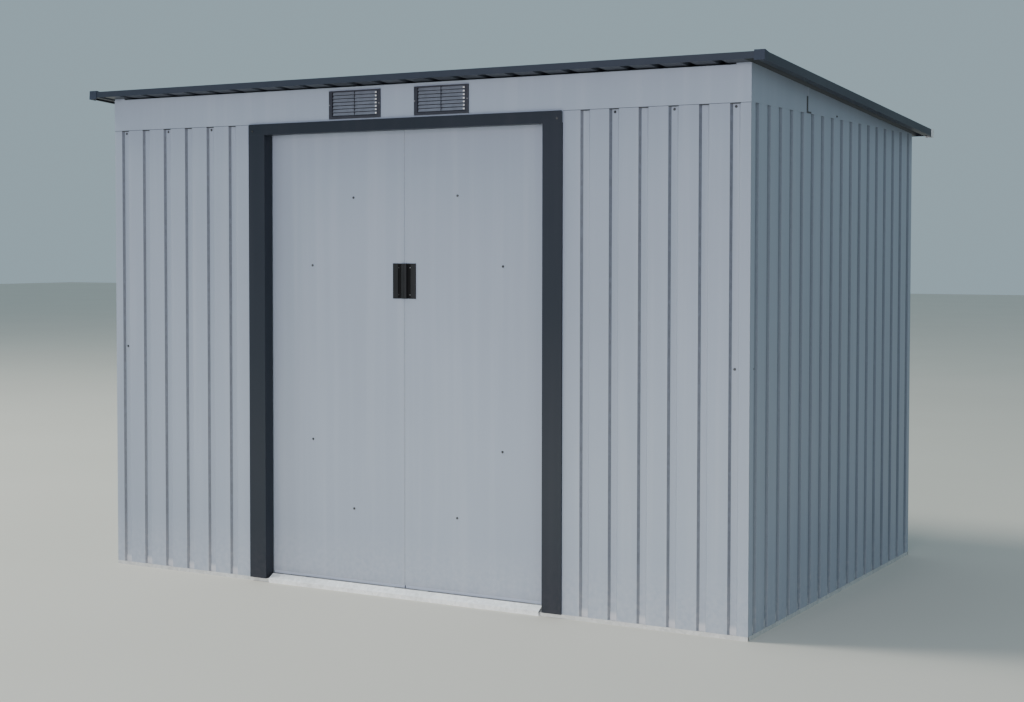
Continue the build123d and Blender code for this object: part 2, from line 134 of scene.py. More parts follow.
def soft_box(name, place, energy, colour):
    """A round lamp 5 m across, turned to the middle of the shed."""
    bpy.ops.object.light_add(type="AREA", location=place)
    lamp = bpy.context.object
    lamp.name = name
    lamp.data.shape = "DISK"
    lamp.data.size = 5
    lamp.data.energy = energy
    lamp.data.color = colour
    aimed(lamp, (0, -0.5, 0.9))


soft_box("front_box", (1.5, -10.6, 2.3), 395, (0.98, 0.90, 1.0))
soft_box("high_box", (-8.7, -2.83, 11.6), 1450, (0.98, 1.0, 0.93))
bpy.ops.object.light_add(type="AREA", location=(0.3, -2.05, 0.05))
board_light = bpy.context.object
board_light.name = "reflector"
board_light.data.shape = "RECTANGLE"
board_light.data.size = 3.6
board_light.data.size_y = 0.8
board_light.data.energy = 20
board_light.data.color = (1.0, 0.97, 0.76)
aimed(board_light, (0.2, -0.9, 0.30))
unlit = bpy.data.collections.new("reflector_misses")
unlit.objects.link(floor)
unlit.collection_objects[0].light_linking.link_state = "EXCLUDE"
board_light.light_linking.receiver_collection = unlit

# The frame's rails, posts, roof beam, door track, braces and hangers: thin steel dipped
# in zinc, with the flakes that zinc freezes into, folded and screwed together.


def effect_group(name, inputs, outputs):
    """An empty shader node group, with its input node and its output node."""
    group = bpy.data.node_groups.new(name, "ShaderNodeTree")
    for label, kind in inputs.items():
        group.interface.new_socket(name=label, in_out="INPUT", socket_type="NodeSocket" + kind)
    for label, kind in outputs.items():
        group.interface.new_socket(name=label, in_out="OUTPUT", socket_type="NodeSocket" + kind)
    return group, group.nodes.new("NodeGroupInput"), group.nodes.new("NodeGroupOutput")


finish_sockets = {"Colour": "Color", "Roughness": "Float", "Relief": "Float"}
zinc_flakes, entry, result = effect_group("zinc_flakes", {"Zinc": "Color"}, finish_sockets)
place = zinc_flakes.nodes.new("ShaderNodeTexCoord").outputs["Object"]
flakes = zinc_flakes.nodes.new("ShaderNodeTexVoronoi")
flakes.inputs["Scale"].default_value = 95
zinc_flakes.links.new(place, flakes.inputs["Vector"])
flake = zinc_flakes.nodes.new("ShaderNodeSeparateColor")
zinc_flakes.links.new(flakes.outputs["Color"], flake.inputs["Color"])
haze = noise_on(zinc_flakes, place, 9, detail=4)
shine = zinc_flakes.nodes.new("ShaderNodeHueSaturation")
zinc_flakes.links.new(entry.outputs["Zinc"], shine.inputs["Color"])
zinc_flakes.links.new(spread(zinc_flakes, flake.outputs["Red"], 0, 1, 0.88, 1.08), shine.inputs["Value"])
dull = spread(zinc_flakes, haze, 0.45, 0.8, 0, 0.45)
dull_grey = (0.42, 0.43, 0.44)
skin = blended(zinc_flakes, dull, shine.outputs["Color"], dull_grey)
zinc_flakes.links.new(skin, result.inputs["Colour"])
flake_rough = spread(zinc_flakes, flake.outputs["Green"], 0, 1, 0.30, 0.44)
rough = reckon(zinc_flakes, "ADD", flake_rough, reckon(zinc_flakes, "MULTIPLY", dull, 0.35))
zinc_flakes.links.new(rough, result.inputs["Roughness"])
zinc_flakes.links.new(flake.outputs["Blue"], result.inputs["Relief"])


def finished(name, group, colours, relief, **sockets):
    """A material of one node group: its colours, its relief in metres and plain sockets."""
    material = bpy.data.materials.new(name)
    material.use_nodes = True
    tree = material.node_tree
    shader = tree.nodes["Principled BSDF"]
    effect = tree.nodes.new("ShaderNodeGroup")
    effect.node_tree = group
    for label, colour in colours.items():
        effect.inputs[label].default_value = (*colour, 1)
    bump = tree.nodes.new("ShaderNodeBump")
    bump.inputs["Distance"].default_value = relief
    tree.links.new(effect.outputs["Relief"], bump.inputs["Height"])
    tree.links.new(effect.outputs["Colour"], shader.inputs["Base Color"])
    tree.links.new(effect.outputs["Roughness"], shader.inputs["Roughness"])
    tree.links.new(bump.outputs["Normal"], shader.inputs["Normal"])
    for label, value in sockets.items():
        shader.inputs[label.replace("_", " ")].default_value = value
    return material


def dress(material, *names):
    """Gives CAD nodes their material."""
    for name in names:
        nodes[name].data.materials.clear()
        nodes[name].data.materials.append(material)


frame_zinc = finished("frame_zinc", zinc_flakes, {"Zinc": (0.66, 0.68, 0.70)}, 0.00002, Metallic=0.85)
dress(frame_zinc, "corner_post_front_left", "corner_post_front_right", "corner_post_back_left")
dress(frame_zinc, "corner_post_back_right", "mid_rail_left", "mid_rail_right", "mid_rail_back")
dress(frame_zinc, "top_rail_left", "top_rail_right", "top_rail_back", "roof_beam", "door_track")
dress(frame_zinc, "door_left_braces", "door_right_braces", "door_left_runners", "door_right_runners")

# The base rails that the wall sheets stand on: the same zinc-dipped steel, paler where
# rain and dust have dulled it, with a plain face 13.5 mm high round the foot.
foot_zinc = finished("foot_zinc", zinc_flakes, {"Zinc": (0.61, 0.62, 0.63)}, 0.00002, Metallic=0.25)
dress(foot_zinc, "base_rail_front", "base_rail_back", "base_rail_left", "base_rail_right")

# The ribbed wall sheets, the header band and the gable plates: thin steel sheet, rolled,
# with a stove-dried blue-grey paint that dust dulls near the ground. The paint also carries
# painted shade on the groove flanks that face right and front, and painted pale bounce
# light at the foot of the grooves. The header band's paint is painted lighter.
half_width = 1.285
front_wall = -0.880
foot_top = 0.0135

paint_sockets = {"Paint": "Color", "Dust": "Color", "Bare": "Color"}
sheet_paint, entry, result = effect_group("sheet_paint", paint_sockets, finish_sockets)
place = sheet_paint.nodes.new("ShaderNodeTexCoord").outputs["Object"]
axes = sheet_paint.nodes.new("ShaderNodeSeparateXYZ")
sheet_paint.links.new(place, axes.inputs["Vector"])
clouds = noise_on(sheet_paint, place, 1.6, detail=3)
rain = noise_on(sheet_paint, place, 26, stretch=(1, 1, 0.03), detail=3)
specks = noise_on(sheet_paint, place, 60, detail=5)
worn = sheet_paint.nodes.new("ShaderNodeHueSaturation")
sheet_paint.links.new(entry.outputs["Paint"], worn.inputs["Color"])
fading = spread(sheet_paint, clouds, 0.3, 0.7, 0.97, 1.02)
streaks = spread(sheet_paint, rain, 0.3, 0.7, -0.012, 0.015)
tone = reckon(sheet_paint, "ADD", fading, streaks)
sheet_paint.links.new(tone, worn.inputs["Value"])
splash_top = 0.22
near_ground = spread(sheet_paint, axes.outputs["Z"], foot_top, splash_top, 0.30, 0)
drops = spread(sheet_paint, specks, 0.35, 0.7, 0.15, 1)
splash = reckon(sheet_paint, "MULTIPLY", near_ground, drops)
out_along = reckon(sheet_paint, "ABSOLUTE", axes.outputs["Y"])
out_across = reckon(sheet_paint, "ABSOLUTE", axes.outputs["X"])
beside_front = reckon(sheet_paint, "SUBTRACT", -front_wall, out_along)
beside_end = reckon(sheet_paint, "SUBTRACT", half_width, out_across)
depth = reckon(sheet_paint, "MINIMUM", beside_front, beside_end)
below_face = spread(sheet_paint, depth, -0.0005, 0.0005)
above_floor = spread(sheet_paint, depth, 0.0095, 0.0085)
# Painted shade: groove flanks that face right and front are darkened towards a dark grey, in flecks, more
# on the front than on the sides, as shade from light from the left.
true_face = sheet_paint.nodes.new("ShaderNodeNewGeometry")
shade_side_test = sheet_paint.nodes.new("ShaderNodeVectorMath")
shade_side_test.operation = "DOT_PRODUCT"
shade_side_way = (0.7071, -0.7071, 0)
shade_side_test.inputs[1].default_value = shade_side_way
sheet_paint.links.new(true_face.outputs["True Normal"], shade_side_test.inputs[0])
slanting = spread(sheet_paint, shade_side_test.outputs["Value"], 0.90, 0.96)
in_groove = reckon(sheet_paint, "MULTIPLY", below_face, above_floor)
flank = reckon(sheet_paint, "MULTIPLY", slanting, in_groove)
on_sides = reckon(sheet_paint, "GREATER_THAN", beside_front, beside_end)
flank_shade_scale = spread(sheet_paint, on_sides, 0, 1, 1.12, 0.68)
patchy = spread(sheet_paint, specks, 0.25, 0.6, 0.55, 0.68)
flank_shade_amount = reckon(sheet_paint, "MULTIPLY", flank_shade_scale, patchy)
flank_painted_shade = reckon(sheet_paint, "MULTIPLY", flank, flank_shade_amount)
# Painted bounce light: the foot of each groove, below about 48 mm, is paled towards the dust colour, as
# light from the floor would pale it.
groove_foot = reckon(sheet_paint, "MULTIPLY", spread(sheet_paint, depth, 0.0060, 0.0070), above_floor)
bounce_rise = spread(sheet_paint, axes.outputs["Z"], 0.048, 0.030, 0, 0.75)
groove_foot_bounce = reckon(sheet_paint, "MULTIPLY", groove_foot, bounce_rise)
rain_film = spread(sheet_paint, rain, 0.5, 0.85, 0, 0.10)
dust_and_bounce = reckon(sheet_paint, "MAXIMUM", groove_foot_bounce, reckon(sheet_paint, "ADD", splash, rain_film))
rounded = sheet_paint.nodes.new("ShaderNodeBevel")
rounded.samples = 4
edge_radius = 0.0012
rounded.inputs["Radius"].default_value = edge_radius
turn_away = sheet_paint.nodes.new("ShaderNodeVectorMath")
turn_away.operation = "DOT_PRODUCT"
sheet_paint.links.new(rounded.outputs["Normal"], turn_away.inputs[0])
sheet_paint.links.new(true_face.outputs["True Normal"], turn_away.inputs[1])
edge = spread(sheet_paint, turn_away.outputs["Value"], 0.995, 0.90)
wear = reckon(sheet_paint, "MULTIPLY", edge, spread(sheet_paint, specks, 0.42, 0.62, 0.05, 0.6))
# The dark grey of the painted shade on the groove flanks.
flank_shade_grey = (0.078, 0.082, 0.100)
flank_shaded = blended(sheet_paint, flank_painted_shade, worn.outputs["Color"], flank_shade_grey)
# Over the painted shade go the real dust and the painted bounce light, both in the dust colour.
with_dust_and_bounce = blended(sheet_paint, dust_and_bounce, flank_shaded, entry.outputs["Dust"])
sheet_paint.links.new(blended(sheet_paint, wear, with_dust_and_bounce, entry.outputs["Bare"]), result.inputs["Colour"])
paint_rough = spread(sheet_paint, clouds, 0.2, 0.8, 0.40, 0.50)
rough = reckon(sheet_paint, "ADD", paint_rough, reckon(sheet_paint, "MULTIPLY", dust_and_bounce, 0.4))
sheet_paint.links.new(rough, result.inputs["Roughness"])
peel = noise_on(sheet_paint, place, 420, detail=1)
relief = reckon(sheet_paint, "ADD", peel, reckon(sheet_paint, "MULTIPLY", clouds, 3.0))
sheet_paint.links.new(relief, result.inputs["Relief"])


def painted(name, paint, dust_and_bounce_colour, bare, relief, shine):
    """A stove-dried paint in its colour, with the colour of its dust, which also paints the bounce light
    at the foot of the grooves, and what shows where it is worn.
    """
    colours = {"Paint": paint, "Dust": dust_and_bounce_colour, "Bare": bare}
    return finished(name, sheet_paint, colours, relief, Specular_IOR_Level=shine)


paint_grey = (0.311, 0.357, 0.443)
# The header band's grey is the wall's made lighter: painted light, to undo the shade that the roof's
# overhang casts on it.
header_lit_grey = (0.328, 0.380, 0.469)
dust_and_bounce_grey = (0.60, 0.60, 0.64)
bare_zinc = (0.50, 0.51, 0.52)
wall_paint = painted("wall_paint", paint_grey, dust_and_bounce_grey, bare_zinc, 0.00006, 0.3)
dress(wall_paint, "front_panel_left", "front_panel_right", "left_wall", "right_wall", "back_wall")
dress(wall_paint, "left_gable_front", "left_gable_back", "right_gable_front", "right_gable_back")
header_lit_paint = painted("header_lit_paint", header_lit_grey, dust_and_bounce_grey, bare_zinc, 0.00006, 0.3)
dress(header_lit_paint, "front_header")

# The wall screws: self-tapping steel screws with a blackened pan head on a sealing washer.
# They sit in every second groove, at the top of the front and at the foot, middle and top
# of the back wall. The front and the sides also have one near each corner at half height.


def alone(piece):
    """Selects one piece and nothing else."""
    bpy.ops.object.select_all(action="DESELECT")
    piece.select_set(True)
    bpy.context.view_layer.objects.active = piece


def settle(piece):
    """Puts the piece's place, turn and size into its mesh."""
    alone(piece)
    bpy.ops.object.transform_apply(location=True, rotation=True, scale=True)


def pick(piece, kind, wanted):
    """In edit mode, selects the verts, edges or faces that a test wants."""
    bpy.ops.mesh.select_mode(type={"verts": "VERT", "edges": "EDGE", "faces": "FACE"}[kind])
    bpy.ops.mesh.select_all(action="DESELECT")
    shape = bmesh.from_edit_mesh(piece.data)
    for element in getattr(shape, kind):
        if wanted(element):
            element.select_set(True)
    shape.select_flush_mode()
    bmesh.update_edit_mesh(piece.data)


def push(x, y, z):
    """Extrudes what is selected by that much."""
    bpy.ops.mesh.extrude_region_move(TRANSFORM_OT_translate={"value": (x, y, z)})


def facing(axis, sign):
    """A test for faces whose normal points along an axis."""
    return lambda face: face.normal[axis] * sign > 0.9


def pan_screw(name, head_radius, head_rise, washer_radius):
    """A pan head with a driver recess on a thin washer, standing on the origin along Z."""
    bpy.ops.object.select_all(action="DESELECT")
    washer = 0.0008
    bpy.ops.mesh.primitive_cylinder_add(
        vertices=14, radius=washer_radius, depth=washer, location=(0, 0, washer / 2)
    )
    screw = bpy.context.object
    screw.name = name
    settle(screw)
    bpy.ops.object.mode_set(mode="EDIT")
    pick(screw, "faces", facing(2, 1))
    bpy.ops.mesh.inset(thickness=washer_radius - head_radius)
    push(0, 0, head_rise * 0.55)
    bpy.ops.mesh.inset(thickness=head_radius * 0.25, depth=head_rise * 0.35)
    bpy.ops.mesh.inset(thickness=head_radius * 0.3, depth=head_rise * 0.1)
    push(0, 0, -head_rise * 0.5)
    bpy.ops.object.mode_set(mode="OBJECT")
    return screw


def drive(pattern, name, places, turned, body, material):
    """Copies of a screw at the places, each turned to its wall, as one piece on a body."""
    copies = []
    for spot, way in zip(places, turned):
        copy = pattern.copy()
        copy.data = pattern.data.copy()
        copy.matrix_world = Matrix.Translation(spot) @ way
        bpy.context.scene.collection.objects.link(copy)
        copies.append(copy)
    bpy.ops.object.select_all(action="DESELECT")
    for copy in copies:
        copy.select_set(True)
    bpy.context.view_layer.objects.active = copies[0]
    bpy.ops.object.join()
    screws = bpy.context.object
    screws.name = name
    settle(screws)
    bpy.ops.object.shade_smooth_by_angle(angle=radians(35))
    screws.data.materials.append(material)
    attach(screws, body)
    return screws


black_steel = finished("black_steel", zinc_flakes, {"Zinc": (0.030, 0.033, 0.037)}, 0.00002, Metallic=0.3)
wall_screw = pan_screw("wall_screw", 0.0032, 0.0022, 0.0046)
to_front = Matrix.Rotation(radians(90), 4, "X")
to_back = Matrix.Rotation(radians(-90), 4, "X")
to_right = Matrix.Rotation(radians(90), 4, "Y")
to_left = Matrix.Rotation(radians(-90), 4, "Y")
groove_depth = 0.008
rib_pitch = 0.1028
side_pitch = 1.760 / 17
top_row = 1.6565
middle_row = 0.844
back_top_row = 1.652
back_foot_row = 0.034
spots = []
ways = []
for rib in (-12, -10, -8, 8, 10, 12):
    spots.append((rib * rib_pitch, front_wall + groove_depth, top_row))
    ways.append(to_front)
for rib in (-12, 12):
    spots.append((rib * rib_pitch, front_wall + groove_depth, middle_row))
    ways.append(to_front)
for rib in range(-12, 13, 2):
    for height in (back_foot_row, middle_row, back_top_row):
        spots.append((rib * rib_pitch, -front_wall - groove_depth, height))
        ways.append(to_back)
for rib in (-8, 8):
    for side, way in ((-1, to_left), (1, to_right)):
        spots.append((side * (half_width - groove_depth), rib * side_pitch, middle_row))
        ways.append(way)
drive(wall_screw, "wall_screws", spots, ways, "shed", black_steel)

# The gable lap: a thin black strip down the step where the rear plate laps the front one,
# with a short tail at its foot. It is painted shade, standing for the shadow line of the lap.
gable_foot = 1.6685
gable_skin = 0.001
lap_place = -0.360
lap_shade_width = 0.012
lap_shade_height = 0.056
lap_shade_rise = 0.0024
tail_length = 0.030
tail_height = 0.006


def block(name, low, high):
    """A plain block between two corners, its place in its mesh, ready to be shaped."""
    low, high = Vector(low), Vector(high)
    bpy.ops.object.select_all(action="DESELECT")
    bpy.ops.mesh.primitive_cube_add(size=1, location=(low + high) / 2, scale=high - low)
    piece = bpy.context.object
    piece.name = name
    settle(piece)
    return piece


soft_skin, entry, result = effect_group("soft_skin", {"Body": "Color"}, finish_sockets)
place = soft_skin.nodes.new("ShaderNodeTexCoord").outputs["Object"]
mottle = noise_on(soft_skin, place, 40, detail=4)
grain = noise_on(soft_skin, place, 1800, detail=1)
worn = soft_skin.nodes.new("ShaderNodeHueSaturation")
soft_skin.links.new(entry.outputs["Body"], worn.inputs["Color"])
soft_skin.links.new(spread(soft_skin, mottle, 0.25, 0.75, 0.86, 1.12), worn.inputs["Value"])
soft_skin.links.new(worn.outputs["Color"], result.inputs["Colour"])
soft_skin.links.new(spread(soft_skin, mottle, 0.2, 0.8, 0.42, 0.58), result.inputs["Roughness"])
soft_skin.links.new(grain, result.inputs["Relief"])


def moulded(name, body, relief=0.00004, **sockets):
    """A plastic, or a black filler standing for shade, with a soft skin, in its colour."""
    return finished(name, soft_skin, {"Body": body}, relief, **sockets)


# A near-black stand-in for shade, for the painted shade at the gable laps and under the header.
shade_black = moulded("shade_black", (0.030, 0.033, 0.040), 0.00005)
for side, side_name in ((-1, "left"), (1, "right")):
    near, far = sorted((side * (half_width + gable_skin), side * (half_width + lap_shade_rise)))
    low = (near, lap_place - lap_shade_width, gable_foot)
    high = (far, lap_place, gable_foot + lap_shade_height)
    lap_shade_strip = block(f"{side_name}_gable_bead", low, high)
    tail_top = gable_foot + tail_height
    bpy.ops.object.mode_set(mode="EDIT")
    bpy.ops.mesh.select_all(action="SELECT")
    bpy.ops.mesh.bisect(plane_co=(0, 0, tail_top), plane_no=(0, 0, 1))
    pick(lap_shade_strip, "faces", lambda face: face.normal.y > 0.9 and face.calc_center_median().z < tail_top)
    push(0, tail_length, 0)
    pick(lap_shade_strip, "edges", lambda edge: abs(edge.verts[0].co.z - edge.verts[1].co.z) > 0.01)
    bpy.ops.mesh.bevel(offset=0.0005, segments=2)
    bpy.ops.object.mode_set(mode="OBJECT")
    lap_shade_strip.data.materials.append(shade_black)
    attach(lap_shade_strip, "shed")

# Painted shade under the header: a black block in the top of each front groove, and a thin
# black line along the header's lower edge from the surround to each corner, stand for the shade there.
shade_block_height = 0.0036
shade_block_half = 0.0175
floor_share = 0.56
surround_end = 0.6395
for side, side_name in ((-1, "left"), (1, "right")):
    shade_blocks = []
    near, far = sorted((side * surround_end, side * (half_width + 0.0005)))
    low = (near, front_wall - 0.0009, gable_foot - 0.0013)
    high = (far, front_wall + 0.0005, gable_foot)
    under_header_shade = block(f"{side_name}_shade_line", low, high)
    shade_blocks.append(under_header_shade)
    for rib in range(7, 13):
        middle = side * rib * rib_pitch
        low = (middle - shade_block_half, front_wall - 0.0006, gable_foot - shade_block_height)
        high = (middle + shade_block_half, front_wall + groove_depth - 0.0002, gable_foot)
        shade_block = block(f"plug_{rib}", low, high)
        bpy.ops.object.mode_set(mode="EDIT")
        pick(shade_block, "verts", lambda corner: corner.co.y > front_wall + 0.003)
        narrowed = (floor_share, 1, 1)
        bpy.ops.transform.resize(value=narrowed, center_override=(middle, front_wall, gable_foot))
        bpy.ops.object.mode_set(mode="OBJECT")
        shade_blocks.append(shade_block)
    bpy.ops.object.select_all(action="DESELECT")
    for shade_block in shade_blocks:
        shade_block.select_set(True)
    bpy.context.view_layer.objects.active = under_header_shade
    bpy.ops.object.join()
    bpy.ops.object.mode_set(mode="EDIT")
    bpy.ops.mesh.select_all(action="SELECT")
    bpy.ops.mesh.bevel(offset=0.0003, segments=1)
    bpy.ops.object.mode_set(mode="OBJECT")
    under_header_shade.data.materials.append(shade_black)
    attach(under_header_shade, "shed")

# The screws of the plates: a small pan head at the foot of each rear gable plate, and one
# through each end of the surround's head.
gable_screw_place = -0.058
gable_screw_height = gable_foot + 0.0085
head_screw_place = 0.621
head_screw_height = 1.6438
head_skin = 0.008
plate_screw = pan_screw("plate_screw", 0.0030, 0.0020, 0.0042)
spots = []
ways = []
for side, way in ((-1, to_left), (1, to_right)):
    spots.append((side * (half_width + gable_skin), gable_screw_place, gable_screw_height))
    ways.append(way)
    spots.append((side * head_screw_place, front_wall - head_skin, head_screw_height))
    ways.append(to_front)
drive(plate_screw, "plate_screws", spots, ways, "shed", black_steel)

# The doorway's surround: the head and the two jambs, folded from sheet with a charcoal
# paint like the roof's and hooked over the edges of the front panels.
charcoal = (0.0185, 0.0240, 0.0355)
charcoal_dust_and_bounce = (0.066, 0.057, 0.068)
charcoal_worn = (0.050, 0.056, 0.066)
dark_paint = painted("dark_paint", charcoal, charcoal_dust_and_bounce, charcoal_worn, 0.00005, 0.25)
dress(dark_paint, "jamb_left", "jamb_right", "door_head")

# The sill: bare zinc-dipped steel, rolled to a steep slope with a nose, which feet and rain
# keep polished. Its near-white colour is partly painted sheen: the bright reflection of the
# polished zinc, painted in as colour.
sill_zinc = finished("sill_zinc", zinc_flakes, {"Zinc": (0.93, 0.96, 1.0)}, 0.00001, Metallic=0.12)
dress(sill_zinc, "door_sill")

# The door leaves: flat pans of the wall's sheet, hung from the track. Each has a strip of
# the same paint along its meeting edge and a grey moulded strip along its foot.
leaf_front = -0.836
leaf_start = 0.0025
leaf_foot = 0.038
leaf_top = 1.642
edge_start = 0.00025
edge_depth = 0.006
foot_strip_grey = (0.46, 0.51, 0.63)
door_paint = wall_paint.copy()
door_paint.name = "door_paint"
tree = door_paint.node_tree
shader = tree.nodes["Principled BSDF"]
place = tree.nodes.new("ShaderNodeTexCoord").outputs["Object"]
axes = tree.nodes.new("ShaderNodeSeparateXYZ")
tree.links.new(place, axes.inputs["Vector"])
strip = spread(tree, axes.outputs["Z"], leaf_foot - 0.0003, leaf_foot, 1, 0)
paint = shader.inputs["Base Color"].links[0].from_socket
tree.links.new(blended(tree, strip, paint, foot_strip_grey), shader.inputs["Base Color"])
dress(door_paint, "door_left", "door_right")


def lies_at(y):
    """A test for edges whose two ends lie at one depth."""
    return lambda edge: all(abs(end.co.y - y) < 1e-5 for end in edge.verts)


door_screw = pan_screw("door_screw", 0.0034, 0.0020, 0.0044)
door_screw_places = ((0.214, 1.3985), (0.392, 1.158), (0.391, 0.5308), (0.213, 0.2918))
for side, side_name in ((-1, "left"), (1, "right")):
    near, far = sorted((side * edge_start, side * leaf_start))
    high = (far, leaf_front + edge_depth, leaf_top)
    edge = block(f"door_{side_name}_edge_strip", (near, leaf_front, leaf_foot), high)
    bpy.ops.object.mode_set(mode="EDIT")
    pick(edge, "edges", lies_at(leaf_front))
    bpy.ops.mesh.bevel(offset=0.0006, segments=2)
    bpy.ops.object.mode_set(mode="OBJECT")
    edge.data.materials.append(wall_paint)
    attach(edge, f"{side_name}_door")
    spots = []
    for across, height in door_screw_places:
        spots.append((side * across, leaf_front, height))
    drive(
        door_screw, f"door_{side_name}_screws", spots, [to_front] * 4,
        f"{side_name}_door", black_steel,
    )

# The pulls: moulded black plastic, one on each leaf, with a raised grip by the meeting
# edge, a finger slot whose floor is painted near-black as shade and takes the two screws,
# and a flat plate beyond it.
pull_low, pull_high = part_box("door_right_handle")
pull_start = 0.0003
grip_end = 0.0106
slot_end = 0.0262
pull_back = pull_high.y
pull_end = 0.003
slot_floor = 0.001
plate_rise = 0.002
grip_rise = 0.0055

black_plastic = moulded("black_plastic", (0.013, 0.014, 0.0165), Specular_IOR_Level=0.25)
low = (pull_start, pull_back - slot_floor, pull_low.z)
pull = block("door_right_pull", low, (pull_high.x, pull_back, pull_high.z))
bpy.ops.object.mode_set(mode="EDIT")
upright_cuts = [((x, 0, 0), (1, 0, 0)) for x in (grip_end, slot_end)]
slot_ends = (pull_low.z + pull_end, pull_high.z - pull_end)
level_cuts = [((0, 0, z), (0, 0, 1)) for z in slot_ends]
for cut, way in upright_cuts + level_cuts:
    bpy.ops.mesh.select_all(action="SELECT")
    bpy.ops.mesh.bisect(plane_co=cut, plane_no=way)


def around_slot(face):
    """The front faces of the plate and of the slot's two ends."""
    middle = face.calc_center_median()
    from_middle = abs(middle.z - (pull_low.z + pull_high.z) / 2)
    past_end = from_middle > (pull_high.z - pull_low.z) / 2 - pull_end
    return face.normal.y < -0.9 and (middle.x > slot_end or (middle.x > grip_end and past_end))


def proud_edge(edge):
    """The sharp edges of what stands proud, but for the one where the two pulls meet."""
    ends = [end.co for end in edge.verts]
    proud = all(end.y < pull_back - 0.0025 for end in ends)
    clear = any(end.x > pull_start + 0.001 for end in ends)
    return proud and clear and edge.calc_face_angle(0) > 0.5


pick(pull, "faces", around_slot)
push(0, -plate_rise, 0)
pick(pull, "faces", lambda face: face.normal.y < -0.9 and face.calc_center_median().x < grip_end)
push(0, -grip_rise, 0)
pick(pull, "edges", proud_edge)
bpy.ops.mesh.bevel(offset=0.0011, segments=3)
bpy.ops.object.mode_set(mode="OBJECT")
bpy.ops.object.shade_smooth_by_angle(angle=radians(40))
pull.data.materials.append(black_plastic)
# Painted shade: the floor of each finger slot gets a near-black plastic.
slot_shade_black = moulded("slot_shade_black", (0.006, 0.006, 0.007), Specular_IOR_Level=0.1)
pull.data.materials.append(slot_shade_black)
bpy.ops.object.mode_set(mode="EDIT")
pick(pull, "faces", lambda face: face.normal.y < -0.9 and face.calc_center_median().y > pull_back - 0.0015)
pull.active_material_index = 1
bpy.ops.object.material_slot_assign()
bpy.ops.object.mode_set(mode="OBJECT")
left_pull = pull.copy()
left_pull.data = pull.data.copy()
left_pull.name = "door_left_pull"
left_pull.data.transform(Matrix.Scale(-1, 4, (1, 0, 0)))
left_pull.data.flip_normals()
bpy.context.scene.collection.objects.link(left_pull)

grey_steel = finished("grey_steel", zinc_flakes, {"Zinc": (0.30, 0.30, 0.31)}, 0.00002, Metallic=0.6)
pull_screw = pan_screw("pull_screw", 0.0014, 0.0008, 0.0017)
pull_screw_place = 0.0234
pull_screw_rows = (1.1518, 1.0573)
# Painted shade: the left pull's screws are black steel so that they sink into the shade of its slot, while
# the right pull's screws are grey steel.
pulls = ((-1, "left", left_pull, black_steel), (1, "right", pull, grey_steel))
for side, side_name, piece, screw_steel in pulls:
    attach(piece, f"{side_name}_door")
    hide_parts(f"door_{side_name}_handle")
    across = side * pull_screw_place
    spots = [(across, pull_back - slot_floor, height) for height in pull_screw_rows]
    drive(
        pull_screw, f"door_{side_name}_pull_screws", spots, [to_front] * 2,
        f"{side_name}_door", screw_steel,
    )

# The two vents in the header: a charcoal moulded frame with a deep recess, seven hooded
# louvres with rounded ends and a white dot at their right that is a painted highlight,
# a thin divider, and a screw half way up each side.
vent_low, vent_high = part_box("vent_right")
side_border = 0.014
top_border = 0.005
foot_border = 0.0095
vent_left_edge = vent_low.x + side_border
vent_right_edge = vent_high.x - side_border
hole_foot = vent_low.z + foot_border
hole_top = vent_high.z - top_border
border_depth = 0.005
recess_depth = 0.012

vent_dark = moulded("vent_dark", (0.033, 0.036, 0.050), Specular_IOR_Level=0.25)
vent_pale = moulded("vent_pale", (0.190, 0.212, 0.258), Specular_IOR_Level=0.3)
glint_white = moulded("glint_white", (0.80, 0.80, 0.82))
high = (vent_high.x, vent_low.y + border_depth, vent_high.z)
border = block("vent_right_frame", vent_low, high)
bpy.ops.object.mode_set(mode="EDIT")
pick(border, "faces", facing(1, 1))
bpy.ops.mesh.delete(type="ONLY_FACE")
pick(border, "faces", facing(1, -1))
bpy.ops.mesh.inset(thickness=top_border)
wide = (vent_right_edge - vent_left_edge) / (vent_high.x - vent_low.x - 2 * top_border)
bpy.ops.transform.resize(value=(wide, 1, 1), center_override=(vent_low + vent_high) / 2)
tall = (hole_top - hole_foot) / (vent_high.z - vent_low.z - 2 * top_border)
bpy.ops.transform.resize(value=(1, 1, tall), center_override=(vent_low.x, vent_low.y, hole_top))
push(0, recess_depth, 0)
on_face = lies_at(vent_low.y)
pick(border, "edges", lambda edge: on_face(edge) and edge.calc_face_angle(0) > 0.5)
bpy.ops.mesh.bevel(offset=0.001, segments=2)
bpy.ops.object.mode_set(mode="OBJECT")
border.data.materials.append(vent_dark)

louvre_count = 7
louvre_pitch = (hole_top - hole_foot) / louvre_count
hood_gap = 0.18
hood_share = 0.82
hood_lean = 0.0050
louvres = []
glint_dots = []


def rounded_end(edge):
    """The short edges at the front of a louvre's ends."""
    before_back = all(end.co.y < vent_low.y + 0.007 for end in edge.verts)
    return edge.calc_length() < 0.02 and before_back


